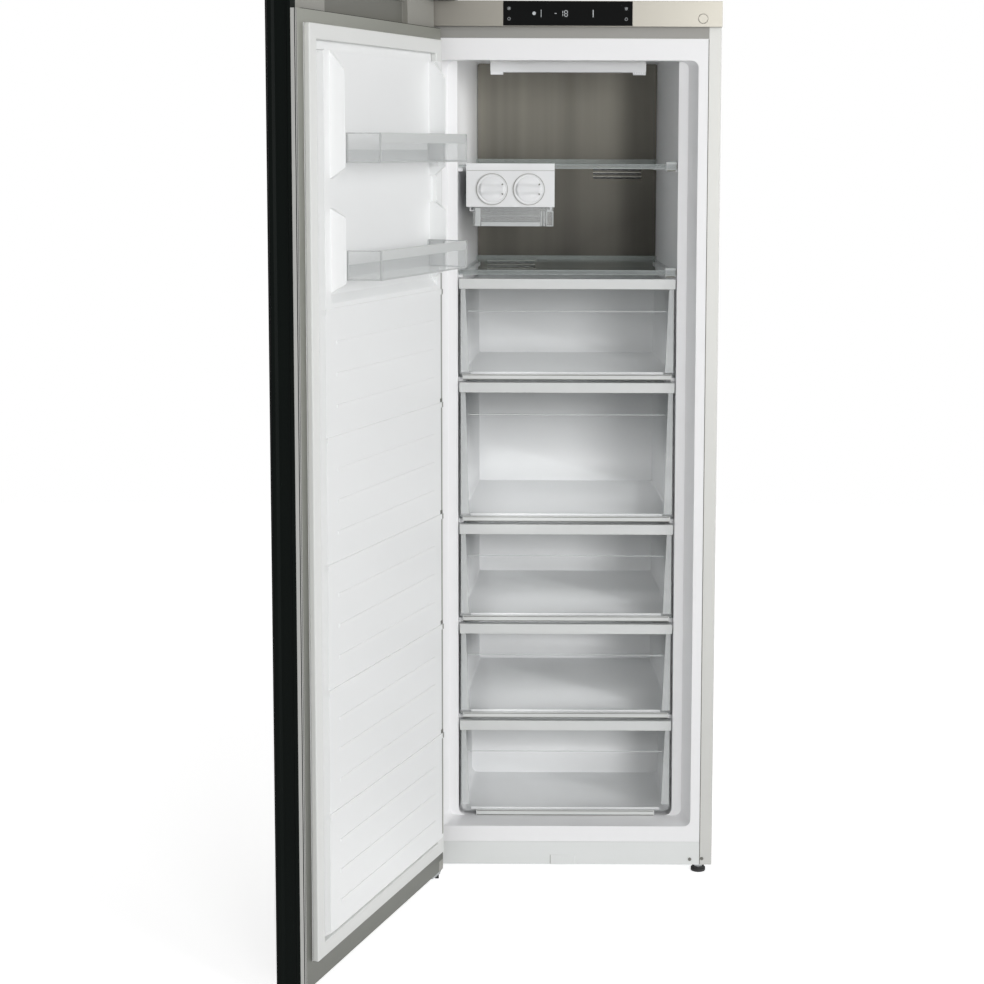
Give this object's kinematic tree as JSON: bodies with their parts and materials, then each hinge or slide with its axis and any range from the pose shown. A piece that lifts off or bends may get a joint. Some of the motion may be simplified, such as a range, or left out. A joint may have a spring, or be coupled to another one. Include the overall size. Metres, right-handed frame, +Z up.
{
  "type": "upright freezer",
  "caption": "Upright freezer with its door open: drawers and glass shelves inside, a twist ice maker, door bins and a cooling system at the back.",
  "frame": {"origin": "middle of the outline on the floor, with the door standing open as stored", "axes": "+Z up; the cabinet faces -Y, so +Y is its back; +X is to the right seen from the front, away from the hinges"},
  "size_m": [0.7984, 1.174, 1.768],
  "materials": {
    "silver": "satin silver lacquer on steel",
    "steel": "brushed",
    "zinc": "zinc-coated sheet",
    "copper": "drawn copper, between matt and bright",
    "aluminium": "mill finish",
    "white": "vacuum-formed, soft gloss",
    "white_trim": "moulded, satin",
    "grey_trim": "metallic grey, satin",
    "gasket": "soft pale grey seal",
    "black_front": "black, glossy",
    "black": "black, glossy",
    "black_paint": "black enamel",
    "glass": "clear toughened",
    "clear": "clear, with frosted rail and posts",
    "foam": "rigid foam",
    "rubber": "matt"
  },
  "bodies": {
    "cabinet": {"side_panel_left": "silver", "side_panel_right": "silver", "top_panel": "silver", "front_crossbar": "silver", "rear_panel": "zinc", "base_tray": "zinc", "machine_bay_plate": "zinc", "top_hinge_bracket": "zinc", "bottom_hinge_bracket": "zinc", "fan_motor": "zinc", "insulation_foam": "foam", "inner_liner": "white", "plinth_panel": "white_trim", "drain_trough": "white_trim", "control_panel": "grey_trim", "screw_plug": "grey_trim", "display_glass": "black", "top_hinge_cover": "black", "drip_tray": "black", "power_inlet": "black", "compressor": "black_paint", "condenser": "black_paint", "rear_air_panel": "steel", "evaporator": "aluminium", "discharge_pipe": "copper", "suction_pipe": "copper", "filter_drier": "copper", "drawer_plate_1": "glass", "drawer_plate_2": "glass", "drawer_plate_3": "glass", "drawer_plate_4": "glass", "light_cover": "clear"},
    "door": {"door_front_panel": "black_front", "door_edge_profile": "black", "door_frame": "silver", "door_top_cap": "grey_trim", "door_foam": "foam", "door_liner": "white", "door_gasket": "gasket"},
    "upper_shelf": {"shelf_upper": "glass", "ice_maker_housing": "white"},
    "lower_shelf": {"shelf_lower": "glass"},
    "left_ice_tray": {"ice_tray_left": "white"},
    "right_ice_tray": {"ice_tray_right": "white"},
    "ice_drawer": {"ice_box": "clear"},
    "upper_balcony": {"balcony_upper": "clear"},
    "lower_balcony": {"balcony_lower": "clear"},
    "fan": {"evaporator_fan": "white_trim"},
    "left_foot": {"front_foot_left": "rubber"},
    "right_foot": {"front_foot_right": "rubber"},
    "left_roller": {"rear_roller_left": "rubber"},
    "right_roller": {"rear_roller_right": "rubber"},
    "frozen_drawer_1": {"drawer_1": "clear"},
    "frozen_drawer_2": {"drawer_2": "clear"},
    "frozen_drawer_3": {"drawer_3": "clear"},
    "frozen_drawer_4": {"drawer_4": "clear"},
    "frozen_drawer_5": {"drawer_5": "clear"}
  },
  "joints": [
    {"name": "door_hinge", "type": "hinge", "parent": "cabinet", "child": "door", "pos_m": [-0.17819, -0.033, 0.024], "axis": [0, 0, -1], "range_deg": [-109.6, 5.4]},
    {"name": "drawer_1_slide", "type": "slide", "parent": "cabinet", "child": "frozen_drawer_1", "axis": [0, -1, 0], "range_m": [0, 0.3]},
    {"name": "drawer_2_slide", "type": "slide", "parent": "cabinet", "child": "frozen_drawer_2", "axis": [0, -1, 0], "range_m": [0, 0.3]},
    {"name": "drawer_3_slide", "type": "slide", "parent": "cabinet", "child": "frozen_drawer_3", "axis": [0, -1, 0], "range_m": [0, 0.3]},
    {"name": "drawer_4_slide", "type": "slide", "parent": "cabinet", "child": "frozen_drawer_4", "axis": [0, -1, 0], "range_m": [0, 0.3]},
    {"name": "drawer_5_slide", "type": "slide", "parent": "cabinet", "child": "frozen_drawer_5", "axis": [0, -1, 0], "range_m": [0, 0.17]},
    {"name": "upper_shelf_slide", "type": "slide", "parent": "cabinet", "child": "upper_shelf", "axis": [0, -1, 0], "range_m": [0, 0.3]},
    {"name": "lower_shelf_slide", "type": "slide", "parent": "cabinet", "child": "lower_shelf", "axis": [0, -1, 0], "range_m": [0, 0.3]},
    {"name": "left_ice_tray_twist", "type": "hinge", "parent": "upper_shelf", "child": "left_ice_tray", "pos_m": [-0.04829, 0.055, 1.3855], "axis": [0, 1, 0], "range_deg": [0, 120]},
    {"name": "right_ice_tray_twist", "type": "hinge", "parent": "upper_shelf", "child": "right_ice_tray", "pos_m": [0.02471, 0.055, 1.3855], "axis": [0, 1, 0], "range_deg": [0, 120]},
    {"name": "ice_box_slide", "type": "slide", "parent": "upper_shelf", "child": "ice_drawer", "axis": [0, -1, 0], "range_m": [0, 0.15]},
    {"name": "upper_balcony_lift", "type": "slide", "parent": "door", "child": "upper_balcony", "axis": [0, 0, 1], "range_m": [0, 0.015]},
    {"name": "lower_balcony_lift", "type": "slide", "parent": "door", "child": "lower_balcony", "axis": [0, 0, 1], "range_m": [0, 0.015]},
    {"name": "fan_spin", "type": "hinge", "parent": "cabinet", "child": "fan", "pos_m": [0.10171, 0.509, 0.76], "axis": [0, 1, 0], "continuous": true},
    {"name": "left_foot_turn", "type": "hinge", "parent": "cabinet", "child": "left_foot", "pos_m": [-0.1703, 0.035, 0], "axis": [0, 0, 1], "continuous": true},
    {"name": "right_foot_turn", "type": "hinge", "parent": "cabinet", "child": "right_foot", "pos_m": [0.37371, 0.035, 0], "axis": [0, 0, 1], "continuous": true},
    {"name": "left_roller_roll", "type": "hinge", "parent": "cabinet", "child": "left_roller", "pos_m": [-0.1483, 0.559, 0.01], "axis": [1, 0, 0], "continuous": true},
    {"name": "right_roller_roll", "type": "hinge", "parent": "cabinet", "child": "right_roller", "pos_m": [0.3517, 0.559, 0.01], "axis": [1, 0, 0], "continuous": true}
  ]
}
